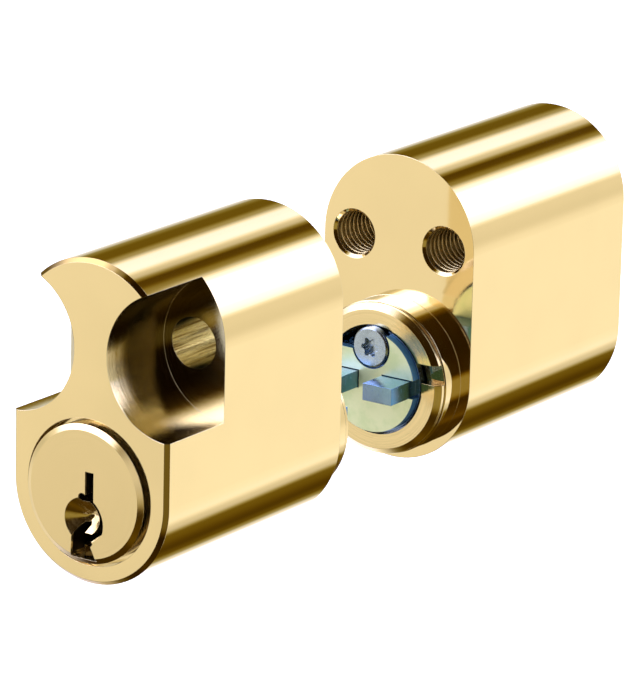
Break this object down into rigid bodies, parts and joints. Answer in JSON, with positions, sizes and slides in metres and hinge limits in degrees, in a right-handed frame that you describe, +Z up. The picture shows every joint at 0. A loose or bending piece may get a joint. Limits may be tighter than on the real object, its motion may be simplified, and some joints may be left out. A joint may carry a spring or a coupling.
{
  "type": "oval lock cylinder set",
  "caption": "Two brass oval lock cylinder halves on one axis, with turning plugs, noses and driver lugs facing each other across the space for a lock case.",
  "frame": {"origin": "on the plug axis, in the plane of the near half's mounting face", "axes": "+Y along the plug axis from the near half to the far half, +Z up towards the fixing screws, +X right seen from the near half's key side"},
  "size_m": [0.02, 0.0905, 0.035],
  "materials": {
    "polished_brass": "mirror-polished flanks, lapped satin faces, machined pocket walls",
    "turned_brass": "fine-turned",
    "plug_brass": "faced and polished, broached keyway",
    "stopper_brass": "pressed in and polished flush",
    "driver_steel": "sintered, blue-grey zinc plated",
    "passivated_zinc": "yellow-green passivated zinc",
    "screw_steel": "bright zinc plated",
    "pin_brass": "turned",
    "pin_steel": "turned steel",
    "spring_steel": "drawn spring wire"
  },
  "bodies": {
    "near_half": {"near_housing": "polished_brass", "near_nose_ring": "turned_brass", "near_chamber_stoppers": "stopper_brass", "near_pin_spring_1": "spring_steel", "near_pin_spring_2": "spring_steel", "near_pin_spring_3": "spring_steel", "near_pin_spring_4": "spring_steel", "near_pin_spring_5": "spring_steel", "near_pin_spring_6": "spring_steel"},
    "near_plug_unit": {"near_plug": "plug_brass", "near_driver_body": "driver_steel", "near_driver_plate": "passivated_zinc", "near_driver_screw": "screw_steel"},
    "near_key_pin_1": {"near_key_pin_1": "pin_brass"},
    "near_driver_pin_1": {"near_driver_pin_1": "pin_steel"},
    "near_key_pin_2": {"near_key_pin_2": "pin_brass"},
    "near_driver_pin_2": {"near_driver_pin_2": "pin_steel"},
    "near_key_pin_3": {"near_key_pin_3": "pin_brass"},
    "near_driver_pin_3": {"near_driver_pin_3": "pin_steel"},
    "near_key_pin_4": {"near_key_pin_4": "pin_brass"},
    "near_driver_pin_4": {"near_driver_pin_4": "pin_steel"},
    "near_key_pin_5": {"near_key_pin_5": "pin_brass"},
    "near_driver_pin_5": {"near_driver_pin_5": "pin_steel"},
    "near_key_pin_6": {"near_key_pin_6": "pin_brass"},
    "near_driver_pin_6": {"near_driver_pin_6": "pin_steel"},
    "far_half": {"far_housing": "polished_brass", "far_nose_ring": "turned_brass", "far_chamber_stoppers": "stopper_brass", "far_pin_spring_1": "spring_steel", "far_pin_spring_2": "spring_steel", "far_pin_spring_3": "spring_steel", "far_pin_spring_4": "spring_steel", "far_pin_spring_5": "spring_steel", "far_pin_spring_6": "spring_steel"},
    "far_plug_unit": {"far_plug": "plug_brass", "far_driver_body": "driver_steel", "far_driver_plate": "passivated_zinc", "far_driver_screw": "screw_steel"},
    "far_key_pin_1": {"far_key_pin_1": "pin_brass"},
    "far_driver_pin_1": {"far_driver_pin_1": "pin_steel"},
    "far_key_pin_2": {"far_key_pin_2": "pin_brass"},
    "far_driver_pin_2": {"far_driver_pin_2": "pin_steel"},
    "far_key_pin_3": {"far_key_pin_3": "pin_brass"},
    "far_driver_pin_3": {"far_driver_pin_3": "pin_steel"},
    "far_key_pin_4": {"far_key_pin_4": "pin_brass"},
    "far_driver_pin_4": {"far_driver_pin_4": "pin_steel"},
    "far_key_pin_5": {"far_key_pin_5": "pin_brass"},
    "far_driver_pin_5": {"far_driver_pin_5": "pin_steel"},
    "far_key_pin_6": {"far_key_pin_6": "pin_brass"},
    "far_driver_pin_6": {"far_driver_pin_6": "pin_steel"}
  },
  "joints": [
    {"name": "far_half_spacing", "type": "slide", "parent": "near_half", "child": "far_half", "axis": [0, 1, 0], "range_m": [-0.004, 0.01]},
    {"name": "near_plug_turn", "type": "hinge", "parent": "near_half", "child": "near_plug_unit", "pos_m": [0, 0, 0], "axis": [0, 1, 0], "continuous": true},
    {"name": "near_key_pin_1_lift", "type": "slide", "parent": "near_plug_unit", "child": "near_key_pin_1", "axis": [0, 0, 1], "range_m": [-0.00215, 0]},
    {"name": "near_driver_pin_1_lift", "type": "slide", "parent": "near_half", "child": "near_driver_pin_1", "axis": [0, 0, 1], "range_m": [0, 0.0015], "stiffness_N_per_m": 100, "deforming": ["near_pin_spring_1"]},
    {"name": "near_key_pin_2_lift", "type": "slide", "parent": "near_plug_unit", "child": "near_key_pin_2", "axis": [0, 0, 1], "range_m": [-0.00135, 0]},
    {"name": "near_driver_pin_2_lift", "type": "slide", "parent": "near_half", "child": "near_driver_pin_2", "axis": [0, 0, 1], "range_m": [0, 0.0015], "stiffness_N_per_m": 100, "deforming": ["near_pin_spring_2"]},
    {"name": "near_key_pin_3_lift", "type": "slide", "parent": "near_plug_unit", "child": "near_key_pin_3", "axis": [0, 0, 1], "range_m": [-0.00185, 0]},
    {"name": "near_driver_pin_3_lift", "type": "slide", "parent": "near_half", "child": "near_driver_pin_3", "axis": [0, 0, 1], "range_m": [0, 0.0015], "stiffness_N_per_m": 100, "deforming": ["near_pin_spring_3"]},
    {"name": "near_key_pin_4_lift", "type": "slide", "parent": "near_plug_unit", "child": "near_key_pin_4", "axis": [0, 0, 1], "range_m": [-0.00095, 0]},
    {"name": "near_driver_pin_4_lift", "type": "slide", "parent": "near_half", "child": "near_driver_pin_4", "axis": [0, 0, 1], "range_m": [0, 0.0015], "stiffness_N_per_m": 100, "deforming": ["near_pin_spring_4"]},
    {"name": "near_key_pin_5_lift", "type": "slide", "parent": "near_plug_unit", "child": "near_key_pin_5", "axis": [0, 0, 1], "range_m": [-0.00155, 0]},
    {"name": "near_driver_pin_5_lift", "type": "slide", "parent": "near_half", "child": "near_driver_pin_5", "axis": [0, 0, 1], "range_m": [0, 0.0015], "stiffness_N_per_m": 100, "deforming": ["near_pin_spring_5"]},
    {"name": "near_key_pin_6_lift", "type": "slide", "parent": "near_plug_unit", "child": "near_key_pin_6", "axis": [0, 0, 1], "range_m": [-0.00115, 0]},
    {"name": "near_driver_pin_6_lift", "type": "slide", "parent": "near_half", "child": "near_driver_pin_6", "axis": [0, 0, 1], "range_m": [0, 0.0015], "stiffness_N_per_m": 100, "deforming": ["near_pin_spring_6"]},
    {"name": "far_plug_turn", "type": "hinge", "parent": "far_half", "child": "far_plug_unit", "pos_m": [0, 0.0254, 0], "axis": [0, 1, 0], "continuous": true},
    {"name": "far_key_pin_1_lift", "type": "slide", "parent": "far_plug_unit", "child": "far_key_pin_1", "axis": [0, 0, 1], "range_m": [-0.00215, 0]},
    {"name": "far_driver_pin_1_lift", "type": "slide", "parent": "far_half", "child": "far_driver_pin_1", "axis": [0, 0, 1], "range_m": [0, 0.0015], "stiffness_N_per_m": 100, "deforming": ["far_pin_spring_1"]},
    {"name": "far_key_pin_2_lift", "type": "slide", "parent": "far_plug_unit", "child": "far_key_pin_2", "axis": [0, 0, 1], "range_m": [-0.00135, 0]},
    {"name": "far_driver_pin_2_lift", "type": "slide", "parent": "far_half", "child": "far_driver_pin_2", "axis": [0, 0, 1], "range_m": [0, 0.0015], "stiffness_N_per_m": 100, "deforming": ["far_pin_spring_2"]},
    {"name": "far_key_pin_3_lift", "type": "slide", "parent": "far_plug_unit", "child": "far_key_pin_3", "axis": [0, 0, 1], "range_m": [-0.00185, 0]},
    {"name": "far_driver_pin_3_lift", "type": "slide", "parent": "far_half", "child": "far_driver_pin_3", "axis": [0, 0, 1], "range_m": [0, 0.0015], "stiffness_N_per_m": 100, "deforming": ["far_pin_spring_3"]},
    {"name": "far_key_pin_4_lift", "type": "slide", "parent": "far_plug_unit", "child": "far_key_pin_4", "axis": [0, 0, 1], "range_m": [-0.00095, 0]},
    {"name": "far_driver_pin_4_lift", "type": "slide", "parent": "far_half", "child": "far_driver_pin_4", "axis": [0, 0, 1], "range_m": [0, 0.0015], "stiffness_N_per_m": 100, "deforming": ["far_pin_spring_4"]},
    {"name": "far_key_pin_5_lift", "type": "slide", "parent": "far_plug_unit", "child": "far_key_pin_5", "axis": [0, 0, 1], "range_m": [-0.00155, 0]},
    {"name": "far_driver_pin_5_lift", "type": "slide", "parent": "far_half", "child": "far_driver_pin_5", "axis": [0, 0, 1], "range_m": [0, 0.0015], "stiffness_N_per_m": 100, "deforming": ["far_pin_spring_5"]},
    {"name": "far_key_pin_6_lift", "type": "slide", "parent": "far_plug_unit", "child": "far_key_pin_6", "axis": [0, 0, 1], "range_m": [-0.00115, 0]},
    {"name": "far_driver_pin_6_lift", "type": "slide", "parent": "far_half", "child": "far_driver_pin_6", "axis": [0, 0, 1], "range_m": [0, 0.0015], "stiffness_N_per_m": 100, "deforming": ["far_pin_spring_6"]}
  ]
}
